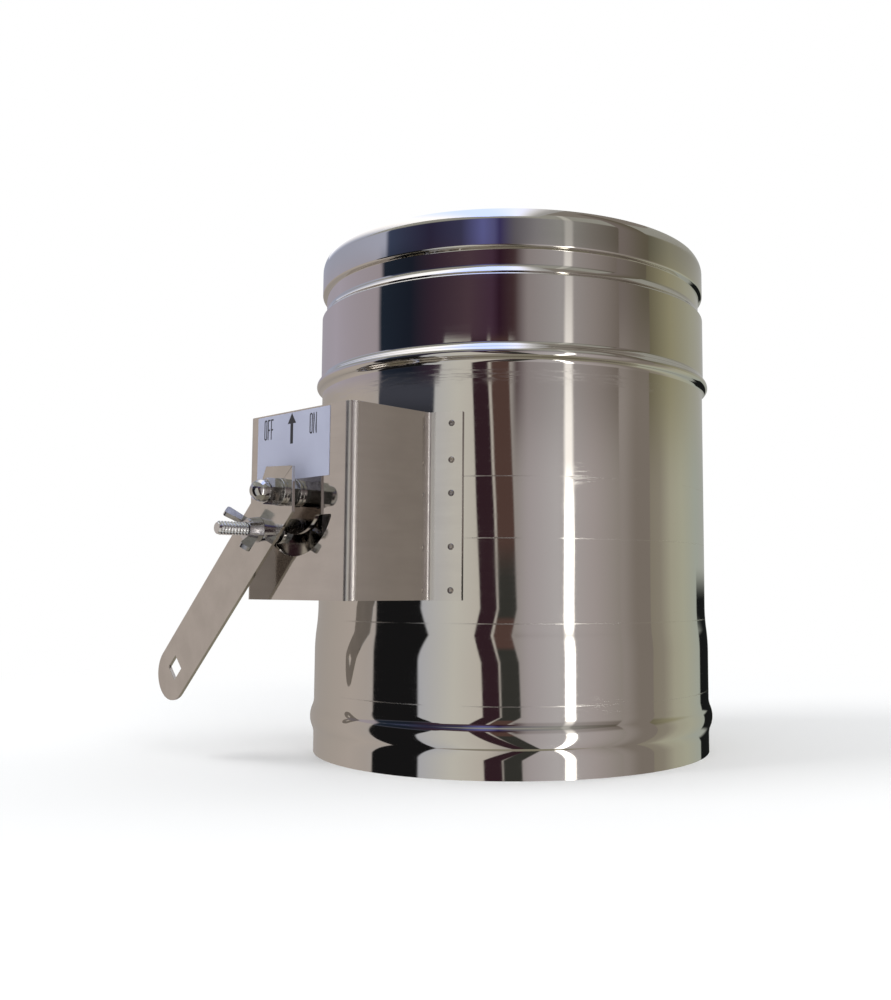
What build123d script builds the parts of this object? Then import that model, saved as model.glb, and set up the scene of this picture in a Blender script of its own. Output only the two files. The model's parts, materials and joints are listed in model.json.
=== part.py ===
"""Flue damper: a single-wall stainless pipe section with a butterfly blade on a cross spindle.

The pipe stands on its socket end, with +Z along its axis and the origin in the middle of its lower
opening. The spindle lies along Y, and its hand lever, locking slot and stand-off bracket face -Y.
The model shows the damper shut, as its lever stands at the OFF end of the slot. Sizes are in millimetres.
"""
from build123d import *
from math import asin, cos, radians, sin, sqrt
import os

os.makedirs("parts", exist_ok=True)

# Pipe
PIPE_LENGTH = 250.0
BODY_R = 100.0
WALL = 0.6
SPIGOT_STEP = 0.6
PIPE_FIT = 0.2
SOCKET_DEPTH = 53.5
STEP_RUN = 11.0
SOCKET_BEAD_Z = 17.6
SOCKET_BEAD_HALF = 6.0
SOCKET_BEAD_PROUD = 1.8
SPIGOT_LENGTH = 60.4
STOP_BEAD_ABOVE = 5.2
STOP_BEAD_BELOW = 4.2
STOP_BEAD_PROUD = 2.2
RIM_BAND = 17.4
GROOVE_WIDTH = 12.6
GROOVE_DEPTH = 2.3
GROOVE_FLARE = 2.7
GROOVE_FLARE_R = 6.0
GROOVE_LIP = 1.0
GROOVE_LIP_DEPTH = 2.0
FOLD_R = 0.3
LEAD_IN_HEIGHT = 5.5
LEAD_IN_DEPTH = 1.9

# Spindle, its bushes and its rear retention
SPINDLE_Z = 122.0
SPINDLE_R = 4.0
THREAD_R = 3.0
FLAT_DEPTH = 0.5
SPINDLE_IN_ACORN = 8.15
RUN_FIT = 0.03
PRESS_FIT = 0.05
BUSH_WALL = 2.0
BUSH_FLANGE = 3.0
BUSH_FLANGE_T = 1.5
BUSH_INSIDE = 1.0
FACE_BUSH_LENGTH = 7.0
REAR_WASHER_T = 1.0
REAR_WASHER_INSET = 1.0
REAR_GAP = 0.2
RING_T = 1.0
RING_WIDTH = 3.5
RING_GROOVE_DEPTH = 1.0
SPINDLE_REAR = 2.5

# Blade and what holds it
BLADE_GAP = 2.0
BLADE_T = 1.5
SEAT_DEPTH = 1.5
SEAT_OVERRUN = 0.5
SADDLE_INSET = 42.4
SADDLE_WIDTH = 20.0
SADDLE_T = 1.5
SADDLE_FOOT = 10.5
RIVET_R = 2.0
RIVET_HEAD_R = 3.6
RIVET_HEAD_H = 1.3

# Bracket
STANDOFF = 37.5
BRACKET_HALF = 37.5
BRACKET_BELOW = 46.0
BRACKET_ABOVE = 36.5
SHEET = 1.5
FACE_BEND_R = 4.0
FOOT_BEND_R = 2.0
FOOT_WIDTH = 15.45
SLOT_R = 22.5
SLOT_PLAY = 3.4
SLOT_END_DROP = 10.0
SLOT_CORNER_R = 0.8

# Scale label on the bracket's face, from the face's left, right and top edges
LABEL_LEFT = 7.7
LABEL_RIGHT = 14.4
LABEL_DROP = 0.7
LABEL_HEIGHT = 29.5
LABEL_T = 0.2

# Lever, measured from the spindle, its arm straight down
LEVER_REST = 46.5
LEVER_T = 1.5
LEVER_HALF = 12.6
LEVER_REACH = 131.0
LEVER_POINT = (-2.0, 13.6)
SHOULDER_OUT = 3.4
SHOULDER_Y = 0.3
SHOULDER_RUN = 10.0
LEVER_HOLE = 8.0
LEVER_HOLE_INSET = 16.8
LEVER_CORNER_R = 0.8

# Nuts, washers and the clamp bolt
SHOULDER_PROUD = 0.15
SLIDE_GAP = 0.15
HEX_ACROSS = 10.0
HEX_CHAMFER = 0.6
NUT_H = 5.0
WASHER_R = 6.0
WASHER_T = 1.6
WASHER_FIT = 0.2
ACORN_HEX_H = 6.2
ACORN_NECK_H = 1.6
ACORN_DOME_R = 4.75
ACORN_BORE = 9.0
BOLT_HEAD_H = 4.0
BOLT_PROUD = 19.95

# Wing nut, its ears' outline measured out from the bolt's axis and up from the nut's base
WING_GAP = 0.1
WING_HUB_R = 5.6
WING_HUB_TOP_R = 4.6
WING_HUB_H = 6.2
WING_T = 2.2
WING_ROOT = [(1.0, 0.9), (1.0, 5.5)]
WING_TIP = [(13.2, 9.4), (9.4, 13.0)]
WING_CORNER_R = 1.2

# Places worked out from the sizes above
spigot_r = BODY_R + SPIGOT_STEP
socket_r = spigot_r + PIPE_FIT + WALL
spigot_z = PIPE_LENGTH - SPIGOT_LENGTH
stop_bead_z = spigot_z - STOP_BEAD_ABOVE
groove_top_z = PIPE_LENGTH - RIM_BAND
groove_z = groove_top_z - GROOVE_WIDTH
bush_r = SPINDLE_R + BUSH_WALL
bush_flange_r = bush_r + BUSH_FLANGE
blade_r = BODY_R - WALL - BLADE_GAP
blade_seat = SPINDLE_R - SEAT_DEPTH
saddle_y = blade_r - SADDLE_INSET
saddle_half = SPINDLE_R + SADDLE_T + SADDLE_FOOT
rivet_x = saddle_half - SADDLE_FOOT / 2
face_y = BODY_R + STANDOFF
face_inside_y = face_y - SHEET
bracket_z0 = SPINDLE_Z - BRACKET_BELOW
washer_hole_r = THREAD_R + WASHER_FIT
nut_hole_r = THREAD_R + PRESS_FIT
washer_s = SHOULDER_PROUD
nut_s = washer_s + WASHER_T
lever_s = nut_s + NUT_H
lever_front_s = lever_s + LEVER_T
acorn_s = lever_front_s + WASHER_T
wing_s = lever_front_s + WING_GAP


def face_plane(s):
    """A plane s in front of the bracket's face, its origin on the spindle's axis, seen from the front."""
    return Plane(origin=(0, -(face_y + s), SPINDLE_Z), x_dir=(1, 0, 0), z_dir=(0, -1, 0))


def lever_plane(s):
    """The same plane turned with the lever, so that the arm runs along its -Y."""
    turn = radians(LEVER_REST)
    return Plane(origin=(0, -(face_y + s), SPINDLE_Z), x_dir=(cos(turn), 0, -sin(turn)), z_dir=(0, -1, 0))


def clamp_plane(s):
    """A plane across the clamp bolt's axis, turned with the lever."""
    place = lever_plane(s)
    return Plane(origin=place.from_local_coords((0, -SLOT_R, 0)), x_dir=place.x_dir, z_dir=place.z_dir)


def hex_blank(plane, across, height, chamfer_top=True):
    """A hexagon prism standing on a plane, its corners turned off at the bottom and, if asked, at the top."""
    corner_r = across / sqrt(3)
    edge_r = across / 2
    if chamfer_top:
        upper = [(corner_r + 1, height - HEX_CHAMFER), (edge_r, height)]
    else:
        upper = [(corner_r + 1, height)]
    with BuildPart() as blank:
        with BuildSketch(plane):
            RegularPolygon(radius=corner_r, side_count=6)
        extrude(amount=height)
        with BuildSketch(Plane(origin=plane.origin, x_dir=plane.x_dir, z_dir=-plane.y_dir)):
            with BuildLine():
                Polyline((0, 0), (edge_r, 0), (corner_r + 1, HEX_CHAMFER), *upper, (0, height), (0, 0))
            make_face()
        revolve(axis=Axis(plane.origin, plane.z_dir), mode=Mode.INTERSECT)
    return blank.part


def finish(part, name):
    """Labels a finished piece and writes it."""
    part.part.label = name
    export_step(part.part, f"parts/{name}.step")


# Pipe: one rolled and welded sheet, its ends and beads formed by rolling
lower_wall = [
    (socket_r, 0), (socket_r, SOCKET_BEAD_Z - SOCKET_BEAD_HALF), (socket_r + SOCKET_BEAD_PROUD, SOCKET_BEAD_Z),
    (socket_r, SOCKET_BEAD_Z + SOCKET_BEAD_HALF), (socket_r, SOCKET_DEPTH), (BODY_R, SOCKET_DEPTH + STEP_RUN),
    (BODY_R, stop_bead_z - STOP_BEAD_BELOW), (spigot_r + STOP_BEAD_PROUD, stop_bead_z), (spigot_r, spigot_z)]
groove_wall = [
    (spigot_r, spigot_z), (spigot_r, groove_z), (spigot_r - GROOVE_DEPTH, groove_z + GROOVE_FLARE),
    (spigot_r - GROOVE_LIP_DEPTH, groove_top_z - GROOVE_LIP), (spigot_r, groove_top_z),
    (spigot_r, PIPE_LENGTH - LEAD_IN_HEIGHT)]
outer_fold_r = WALL + FOLD_R

with BuildPart() as pipe_body:
    with BuildSketch(Plane.XZ):
        with BuildLine() as wall_line:
            for low, high in zip(lower_wall, lower_wall[1:]):
                if low[0] == high[0]:
                    Line(low, high)
                else:
                    middle = ((low[0] + high[0]) / 2, (low[1] + high[1]) / 2)
                    swell = TangentArc(low, middle, tangent=(0, 1))
                    TangentArc(middle, high, tangent=swell % 1)
            FilletPolyline(*groove_wall, radius=[outer_fold_r, GROOVE_FLARE_R, FOLD_R, outer_fold_r])
            TangentArc(groove_wall[-1], (spigot_r - LEAD_IN_DEPTH, PIPE_LENGTH), tangent=(0, 1))
            offset(amount=WALL, side=Side.LEFT)
        make_face()
    revolve(axis=Axis.Z)
    with BuildSketch(Plane.XZ):
        with Locations((0, SPINDLE_Z)):
            Circle(bush_r + PRESS_FIT)
    extrude(amount=BODY_R + 1, both=True, mode=Mode.SUBTRACT)
finish(pipe_body, "pipe_body")

# Bracket: one folded sheet, a hat section whose feet are curved to the pipe
foot_end = asin(BRACKET_HALF / (BODY_R + SHEET)) + FOOT_WIDTH / (BODY_R + SHEET)
with BuildPart() as bracket:
    with BuildSketch(Plane.XY.offset(bracket_z0)) as hat:
        with BuildSketch(mode=Mode.PRIVATE) as channel:
            with Locations((0, -(face_y + BODY_R / 2) / 2)):
                Rectangle(2 * BRACKET_HALF, face_y - BODY_R / 2)
            fillet(channel.vertices().group_by(Axis.Y)[0], FACE_BEND_R)
            with BuildSketch(mode=Mode.PRIVATE) as inside:
                with Locations((0, -(face_inside_y + BODY_R / 2) / 2)):
                    Rectangle(2 * (BRACKET_HALF - SHEET), face_inside_y - BODY_R / 2)
                fillet(inside.vertices().group_by(Axis.Y)[0], FACE_BEND_R - SHEET)
            add(inside.sketch, mode=Mode.SUBTRACT)
        with BuildSketch(mode=Mode.PRIVATE) as feet:
            with BuildLine():
                reach = 2 * BODY_R
                Polyline((0, 0), (-reach * sin(foot_end), -reach * cos(foot_end)),
                         (reach * sin(foot_end), -reach * cos(foot_end)), (0, 0))
            make_face()
            Circle(BODY_R + SHEET, mode=Mode.INTERSECT)
            Rectangle(2 * (BRACKET_HALF - SHEET), 4 * BODY_R, mode=Mode.SUBTRACT)
        add(channel.sketch)
        add(feet.sketch)
        Circle(BODY_R, mode=Mode.SUBTRACT)
        outer_foot = sqrt((BODY_R + SHEET) ** 2 - BRACKET_HALF ** 2)
        inner_foot = sqrt(BODY_R ** 2 - (BRACKET_HALF - SHEET) ** 2)
        crook = [v for v in hat.vertices()
                 if abs(abs(v.X) - BRACKET_HALF) < 0.01 and abs(v.Y + outer_foot) < 0.01]
        heel = [v for v in hat.vertices()
                if abs(abs(v.X) - BRACKET_HALF + SHEET) < 0.01 and abs(v.Y + inner_foot) < 0.01]
        fillet(crook, FOOT_BEND_R)
        fillet(heel, FOOT_BEND_R + SHEET)
    extrude(amount=BRACKET_BELOW + BRACKET_ABOVE)
    with BuildSketch(face_plane(0)):
        Circle(bush_r + PRESS_FIT)
        with BuildSketch(mode=Mode.PRIVATE) as slot:
            Circle(SLOT_R + THREAD_R + SLOT_PLAY / 2)
            Circle(SLOT_R - THREAD_R - SLOT_PLAY / 2, mode=Mode.SUBTRACT)
            with Locations((0, -SLOT_END_DROP)):
                Rectangle(4 * SLOT_R, 4 * SLOT_R, align=(Align.CENTER, Align.MIN), mode=Mode.SUBTRACT)
            fillet(slot.vertices(), SLOT_CORNER_R)
        add(slot.sketch)
    extrude(amount=-2 * SHEET, mode=Mode.SUBTRACT)
finish(bracket, "bracket")

# Scale label: a printed film on the face
with BuildPart() as scale_label:
    with BuildSketch(face_plane(0)):
        with Locations(((LABEL_LEFT - LABEL_RIGHT) / 2, BRACKET_ABOVE - LABEL_DROP - LABEL_HEIGHT / 2)):
            Rectangle(2 * BRACKET_HALF - LABEL_LEFT - LABEL_RIGHT, LABEL_HEIGHT)
    extrude(amount=LABEL_T)
finish(scale_label, "scale_label")


# Bushes: flanged sleeves, two in the pipe's wall and one in the bracket's face
def make_bush(name, flange_y, outward, flange_t, sleeve):
    """A flanged bush on the spindle's axis, its flange's back at flange_y and its sleeve pointing inward."""
    seat = Plane(origin=(0, flange_y, SPINDLE_Z), x_dir=(1, 0, 0), z_dir=(0, outward, 0))
    with BuildPart() as bush:
        with BuildSketch(seat):
            Circle(bush_flange_r)
        extrude(amount=flange_t)
        chamfer(bush.edges().filter_by(GeomType.CIRCLE).group_by(Axis.Y)[-1 if outward > 0 else 0], 0.4)
        with BuildSketch(seat):
            Circle(bush_r)
        extrude(amount=-sleeve)
        with BuildSketch(seat):
            Circle(SPINDLE_R + RUN_FIT)
        extrude(amount=flange_t + sleeve, both=True, mode=Mode.SUBTRACT)
    finish(bush, name)


make_bush("front_bush", -BODY_R, -1, BUSH_FLANGE_T, WALL + BUSH_INSIDE)
make_bush("rear_bush", BODY_R, 1, BUSH_FLANGE_T, WALL + BUSH_INSIDE)
make_bush("face_bush", -face_inside_y, 1, FACE_BUSH_LENGTH - SHEET, SHEET)

# Spindle: a turned rod, threaded and flatted for the lever, milled flat for the blade
ring_groove_r = SPINDLE_R - RING_GROOVE_DEPTH
ring_y = BODY_R + BUSH_FLANGE_T + REAR_GAP + REAR_WASHER_T
spindle_rear_y = ring_y + RING_T + SPINDLE_REAR
with BuildPart() as spindle:
    with BuildSketch(face_plane(SHOULDER_PROUD)):
        Circle(SPINDLE_R)
    extrude(amount=-(face_y + SHOULDER_PROUD + spindle_rear_y))
    chamfer(spindle.edges().group_by(Axis.Y)[-1], 0.8)
    with BuildSketch(face_plane(SHOULDER_PROUD)):
        Circle(THREAD_R)
    extrude(amount=acorn_s + SPINDLE_IN_ACORN - SHOULDER_PROUD)
    chamfer(spindle.edges().group_by(Axis.Y)[0], 0.6)
    with BuildSketch(lever_plane(lever_s)):
        Circle(2 * THREAD_R)
        Rectangle(2 * (THREAD_R - FLAT_DEPTH), 4 * THREAD_R, mode=Mode.SUBTRACT)
    extrude(amount=LEVER_T, mode=Mode.SUBTRACT)
    with BuildSketch(Plane.XZ.offset(-(blade_r + SEAT_OVERRUN))):
        with Locations((0, SPINDLE_Z + blade_seat)):
            Rectangle(4 * SPINDLE_R, 2 * SPINDLE_R, align=(Align.CENTER, Align.MIN))
    extrude(amount=2 * (blade_r + SEAT_OVERRUN), mode=Mode.SUBTRACT)
    with BuildSketch(Plane.XZ.offset(-ring_y)):
        with Locations((0, SPINDLE_Z)):
            Circle(2 * SPINDLE_R)
            Circle(ring_groove_r, mode=Mode.SUBTRACT)
    extrude(amount=-RING_T, mode=Mode.SUBTRACT)
finish(spindle, "spindle")

# Rear retention: a washer and a spring ring in the spindle's groove
with BuildPart() as rear_washer:
    with BuildSketch(Plane.XZ.offset(-(ring_y - REAR_WASHER_T))):
        with Locations((0, SPINDLE_Z)):
            Circle(bush_flange_r - REAR_WASHER_INSET)
            Circle(SPINDLE_R + PRESS_FIT, mode=Mode.SUBTRACT)
    extrude(amount=-REAR_WASHER_T)
finish(rear_washer, "rear_washer")

with BuildPart() as retaining_ring:
    with BuildSketch(Plane.XZ.offset(-ring_y)):
        with Locations((0, SPINDLE_Z)):
            Circle(ring_groove_r + RING_WIDTH)
            Circle(ring_groove_r + PRESS_FIT, mode=Mode.SUBTRACT)
            Rectangle(1.7 * ring_groove_r, 2 * (ring_groove_r + RING_WIDTH),
                      align=(Align.CENTER, Align.MAX), mode=Mode.SUBTRACT)
    extrude(amount=-RING_T)
finish(retaining_ring, "retaining_ring")

# Blade: a flat disc on the spindle's seat, held by two riveted saddles
rivet_places = [(x, y) for x in (-rivet_x, rivet_x) for y in (-saddle_y, saddle_y)]
blade_bottom_z = SPINDLE_Z + blade_seat
with BuildPart() as blade:
    with BuildSketch(Plane.XY.offset(blade_bottom_z)):
        Circle(blade_r)
        with Locations(*rivet_places):
            Circle(RIVET_R + PRESS_FIT, mode=Mode.SUBTRACT)
    extrude(amount=BLADE_T)
finish(blade, "blade")


def make_saddle(name, centre_y):
    """A strap folded round the spindle's underside, its feet flat on the blade."""
    strap_r = SPINDLE_R + RUN_FIT
    with BuildPart() as saddle:
        with BuildSketch(Plane.XZ.offset(-(centre_y - SADDLE_WIDTH / 2))) as strap:
            with Locations((0, SPINDLE_Z)):
                Circle(strap_r + SADDLE_T)
                Rectangle(2 * (strap_r + SADDLE_T), blade_seat, align=(Align.CENTER, Align.MIN))
            with Locations((0, blade_bottom_z - SADDLE_T)):
                Rectangle(2 * saddle_half, SADDLE_T, align=(Align.CENTER, Align.MIN))
            with Locations((0, blade_bottom_z)):
                Rectangle(4 * saddle_half, 4 * SADDLE_T, align=(Align.CENTER, Align.MIN), mode=Mode.SUBTRACT)
            with Locations((0, SPINDLE_Z)):
                Circle(strap_r, mode=Mode.SUBTRACT)
                Rectangle(2 * strap_r, 2 * blade_seat, align=(Align.CENTER, Align.MIN), mode=Mode.SUBTRACT)
        extrude(amount=-SADDLE_WIDTH)
        uprights = saddle.edges().filter_by(Axis.Z)
        ends = uprights.filter_by(lambda e: abs(abs(e.center().X) - saddle_half) < 0.01)
        fillet(ends, 4 * SADDLE_T)
        with BuildSketch(Plane.XY.offset(blade_bottom_z)):
            with Locations(*[(x, centre_y) for x in (-rivet_x, rivet_x)]):
                Circle(RIVET_R + PRESS_FIT)
        extrude(amount=-2 * SADDLE_T, mode=Mode.SUBTRACT)
    finish(saddle, name)


make_saddle("saddle_front", -saddle_y)
make_saddle("saddle_rear", saddle_y)

rivet_bottom_z = blade_bottom_z - SADDLE_T
rivet_top_z = blade_bottom_z + BLADE_T
with BuildPart() as one_rivet:
    with BuildSketch(Plane.XZ):
        with BuildLine():
            TangentArc((0, rivet_bottom_z - RIVET_HEAD_H), (RIVET_HEAD_R, rivet_bottom_z), tangent=(1, 0))
            Polyline((RIVET_HEAD_R, rivet_bottom_z), (RIVET_R, rivet_bottom_z), (RIVET_R, rivet_top_z),
                     (RIVET_HEAD_R, rivet_top_z))
            TangentArc((0, rivet_top_z + RIVET_HEAD_H), (RIVET_HEAD_R, rivet_top_z), tangent=(1, 0))
            Line((0, rivet_top_z + RIVET_HEAD_H), (0, rivet_bottom_z - RIVET_HEAD_H))
        make_face()
    revolve(axis=Axis.Z)

with BuildPart() as blade_rivets:
    with Locations(*[Location((x, y, 0)) for x, y in rivet_places]):
        add(one_rivet.part)
finish(blade_rivets, "blade_rivets")


# Washers and nuts on the spindle's thread
def make_washer(name, plane, outer_r, hole_r, thickness):
    """A plain round washer standing on a plane."""
    with BuildPart() as washer:
        with BuildSketch(plane):
            Circle(outer_r)
            Circle(hole_r, mode=Mode.SUBTRACT)
        extrude(amount=thickness)
    finish(washer, name)


def make_nut(name, plane, across, height, hole_r):
    """A hexagon nut standing on a plane."""
    with BuildPart() as nut:
        add(hex_blank(plane, across, height))
        with BuildSketch(plane):
            Circle(hole_r)
        extrude(amount=height, mode=Mode.SUBTRACT)
    finish(nut, name)


make_washer("face_washer", lever_plane(washer_s), WASHER_R, washer_hole_r, WASHER_T)
make_nut("lever_nut", lever_plane(nut_s), HEX_ACROSS, NUT_H, nut_hole_r)
make_washer("lever_washer", lever_plane(lever_front_s), WASHER_R, washer_hole_r, WASHER_T)

with BuildPart() as acorn_nut:
    base = lever_plane(acorn_s)
    add(hex_blank(base, HEX_ACROSS, ACORN_HEX_H))
    neck = lever_plane(acorn_s + ACORN_HEX_H)
    with BuildSketch(neck):
        Circle(ACORN_DOME_R)
    extrude(amount=ACORN_NECK_H)
    dome = lever_plane(acorn_s + ACORN_HEX_H + ACORN_NECK_H)
    with BuildSketch(Plane(origin=dome.origin, x_dir=dome.x_dir, z_dir=-dome.y_dir)):
        Circle(ACORN_DOME_R)
        Rectangle(2 * ACORN_DOME_R, 2 * ACORN_DOME_R, align=(Align.MAX, Align.CENTER), mode=Mode.SUBTRACT)
        Rectangle(2 * ACORN_DOME_R, 2 * ACORN_DOME_R, align=(Align.CENTER, Align.MAX), mode=Mode.SUBTRACT)
    revolve(axis=Axis(dome.origin, dome.z_dir))
    with BuildSketch(base):
        Circle(nut_hole_r)
    extrude(amount=ACORN_BORE, mode=Mode.SUBTRACT)
finish(acorn_nut, "acorn_nut")

# Lever: a flat bar with a pointed head, keyed to the spindle by its flats
with BuildPart() as lever:
    with BuildSketch(lever_plane(lever_s)) as lever_shape:
        tip_y = LEVER_HALF - LEVER_REACH
        with BuildLine():
            Line((LEVER_HALF, tip_y), (LEVER_HALF, SHOULDER_Y))
            Line((LEVER_HALF, SHOULDER_Y), LEVER_POINT)
            Line(LEVER_POINT, (-LEVER_HALF - SHOULDER_OUT, SHOULDER_Y))
            Line((-LEVER_HALF - SHOULDER_OUT, SHOULDER_Y), (-LEVER_HALF, SHOULDER_Y - SHOULDER_RUN))
            Line((-LEVER_HALF, SHOULDER_Y - SHOULDER_RUN), (-LEVER_HALF, tip_y))
            ThreePointArc((-LEVER_HALF, tip_y), (0, -LEVER_REACH), (LEVER_HALF, tip_y))
        make_face()
        fillet(lever_shape.vertices().group_by(Axis.Y)[-1], LEVER_CORNER_R)
        with BuildSketch(mode=Mode.PRIVATE) as key_hole:
            Circle(nut_hole_r)
            Rectangle(2 * (nut_hole_r - FLAT_DEPTH), 4 * THREAD_R, mode=Mode.INTERSECT)
        add(key_hole.sketch, mode=Mode.SUBTRACT)
        with Locations((0, -SLOT_R)):
            Circle(washer_hole_r, mode=Mode.SUBTRACT)
        with Locations((0, LEVER_HOLE_INSET - LEVER_REACH)):
            Rectangle(LEVER_HOLE, LEVER_HOLE, mode=Mode.SUBTRACT)
    extrude(amount=LEVER_T)
finish(lever, "lever")

# Clamp: a bolt through the slot and the lever, its head and washer behind the face
head_s = -SHEET - SLIDE_GAP - WASHER_T
with BuildPart() as clamp_bolt:
    add(hex_blank(clamp_plane(head_s - BOLT_HEAD_H), HEX_ACROSS, BOLT_HEAD_H, chamfer_top=False))
    with BuildSketch(clamp_plane(head_s)):
        Circle(THREAD_R)
    extrude(amount=lever_front_s + BOLT_PROUD - head_s)
    chamfer(clamp_bolt.edges().group_by(Axis.Y)[0], 0.7)
finish(clamp_bolt, "clamp_bolt")

make_washer("clamp_back_washer", clamp_plane(head_s), WASHER_R, washer_hole_r, WASHER_T)
make_washer("clamp_front_washer", clamp_plane(washer_s), WASHER_R, washer_hole_r, WASHER_T)
make_nut("clamp_nut", clamp_plane(nut_s), HEX_ACROSS, NUT_H, nut_hole_r)

# Wing nut: a tapered hub with two flat ears that rise away from the lever
with BuildPart() as wing_nut:
    wing_base = clamp_plane(wing_s)
    ear_plane = Plane(origin=wing_base.origin, x_dir=wing_base.x_dir, z_dir=-wing_base.y_dir)
    with BuildSketch(ear_plane):
        with BuildLine():
            Polyline((0, 0), (WING_HUB_R, 0), (WING_HUB_TOP_R, WING_HUB_H), (0, WING_HUB_H), (0, 0))
        make_face()
    revolve(axis=Axis(wing_base.origin, wing_base.z_dir))
    with BuildSketch(ear_plane) as ears:
        with BuildLine():
            Polyline(*[(THREAD_R + x, y) for x, y in WING_ROOT], *reversed(WING_TIP), close=True)
        make_face()
        fillet(ears.vertices().group_by(Axis.X)[-1] + ears.vertices().group_by(Axis.Y)[-1], WING_CORNER_R)
        mirror(about=Plane.YZ)
    extrude(amount=WING_T / 2, both=True)
    with BuildSketch(wing_base):
        Circle(nut_hole_r)
    extrude(amount=2 * WING_HUB_H, mode=Mode.SUBTRACT)
finish(wing_nut, "wing_nut")
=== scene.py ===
"""A flue damper in polished stainless steel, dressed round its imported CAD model.

The pipe stands on its socket end at the origin, +Z up. Its bracket, scale and hand lever face -Y.
"""
import json
from math import atan2, cos, pi, radians, sin, tan, tau

import bmesh
import bpy
import numpy as np
from mathutils import Matrix, Vector


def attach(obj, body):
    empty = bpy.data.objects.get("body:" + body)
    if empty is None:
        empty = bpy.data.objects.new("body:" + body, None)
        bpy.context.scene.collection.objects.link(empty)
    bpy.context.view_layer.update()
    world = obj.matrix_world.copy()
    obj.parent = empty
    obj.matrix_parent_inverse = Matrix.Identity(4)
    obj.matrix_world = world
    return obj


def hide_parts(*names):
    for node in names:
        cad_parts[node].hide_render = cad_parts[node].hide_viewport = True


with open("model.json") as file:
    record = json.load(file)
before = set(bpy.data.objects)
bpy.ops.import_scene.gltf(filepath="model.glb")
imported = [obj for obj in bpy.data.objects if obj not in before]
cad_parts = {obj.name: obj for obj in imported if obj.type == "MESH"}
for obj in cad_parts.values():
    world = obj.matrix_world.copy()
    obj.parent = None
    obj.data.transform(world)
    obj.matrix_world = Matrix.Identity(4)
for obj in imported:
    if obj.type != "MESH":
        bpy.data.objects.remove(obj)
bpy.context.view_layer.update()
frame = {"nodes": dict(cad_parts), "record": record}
nodes = frame["nodes"]
scene = bpy.context.scene
mm = 0.001

# Studio. The camera stands where it did for the photograph, a little below the middle of the pipe and
# 43 degrees round from the bracket's face.
scene.view_settings.view_transform = "Standard"
camera_turn = radians(42.76)
camera_reach = 541.5 * mm
camera_height = 81.7 * mm
camera_yaw = camera_turn - radians(0.230)
camera_pitch = radians(4.883)
camera_roll = radians(0.131)

level_reach = cos(camera_pitch)
forward = Vector((-sin(camera_yaw) * level_reach, cos(camera_yaw) * level_reach, sin(camera_pitch)))
right = Vector((cos(camera_yaw), sin(camera_yaw), 0))
up = right.cross(forward)
upright, lean = cos(camera_roll), sin(camera_roll)
right, up = right * upright + up * lean, up * upright - right * lean
camera_data = bpy.data.cameras.new("camera")
camera_data.lens = 36.8
camera_data.sensor_width = 36
camera_data.shift_x = -0.0706
camera_data.clip_start = 0.01
camera = bpy.data.objects.new("camera", camera_data)
scene.collection.objects.link(camera)
place = Matrix((right, up, -forward)).transposed().to_4x4()
place.translation = (camera_reach * sin(camera_turn), -camera_reach * cos(camera_turn), camera_height)
camera.matrix_world = place
scene.camera = camera


# Ground. A pale sheet under the pipe that runs out to white behind it. It shows from above only,
# and metal doesn't mirror it, because the room screens below stand for what metal sees.
class Wire:
    """A shader socket. Arithmetic on wires and numbers adds the Math nodes that work it out."""

    def __init__(self, tree, socket=None):
        self.tree = tree
        self.socket = socket

    def node(self, kind, settings=None, sockets=None, out=0):
        """Adds a node, sets it up, fills or links its sockets, and returns one of its outputs."""
        made = self.tree.nodes.new(kind)
        for name, value in (settings or {}).items():
            if name == "stops":
                ramp = made.color_ramp.elements
                while len(ramp) < len(value):
                    ramp.new(1)
                for element, (position, colour) in zip(ramp, value):
                    element.position = position
                    element.color = (*colour, 1)
            else:
                setattr(made, name, value)
        for name, value in (sockets or {}).items():
            if isinstance(value, Wire):
                self.tree.links.new(value.socket, made.inputs[name])
            else:
                made.inputs[name].default_value = value
        return Wire(self.tree, made.outputs[out]) if made.outputs else None

    def math(self, operation, *values):
        return self.node("ShaderNodeMath", {"operation": operation}, dict(enumerate(values)))

    def __add__(self, other):
        return self.math("ADD", self, other)

    def __radd__(self, other):
        return self.math("ADD", other, self)

    def __sub__(self, other):
        return self.math("SUBTRACT", self, other)

    def __rsub__(self, other):
        return self.math("SUBTRACT", other, self)

    def __mul__(self, other):
        return self.math("MULTIPLY", self, other)

    def __rmul__(self, other):
        return self.math("MULTIPLY", other, self)

    def __truediv__(self, other):
        return self.math("DIVIDE", self, other)

    def __abs__(self):
        return self.math("ABSOLUTE", self)

    def smooth(self, low, high, start=0.0, end=1.0):
        """Eases from start to end as this wire goes from low to high."""
        settings = {"interpolation_type": "SMOOTHSTEP"}
        sockets = {"Value": self, "From Min": low, "From Max": high, "To Min": start, "To Max": end}
        return self.node("ShaderNodeMapRange", settings, sockets)

    def mix(self, colour_a, colour_b):
        """Goes from one colour to another as this wire goes from 0 to 1."""
        ends = [c if isinstance(c, Wire) else (*c, 1) for c in (colour_a, colour_b)]
        return self.node("ShaderNodeMix", {"data_type": "RGBA"}, {0: self, 6: ends[0], 7: ends[1]}, out=2)

    def split(self):
        """The three parts of this vector."""
        parts = self.node("ShaderNodeSeparateXYZ", sockets={0: self}).socket.node.outputs
        return [Wire(self.tree, part) for part in parts]

    def noise(self, grain, detail):
        """Cloudy noise at this vector, with grain giving how many clouds there are in a metre each way."""
        grain = grain if isinstance(grain, tuple) else (grain, grain, grain)
        sized = self.node("ShaderNodeMapping", sockets={"Vector": self, "Scale": grain})
        return self.node("ShaderNodeTexNoise", sockets={"Vector": sized, "Scale": 1.0, "Detail": detail})


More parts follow.
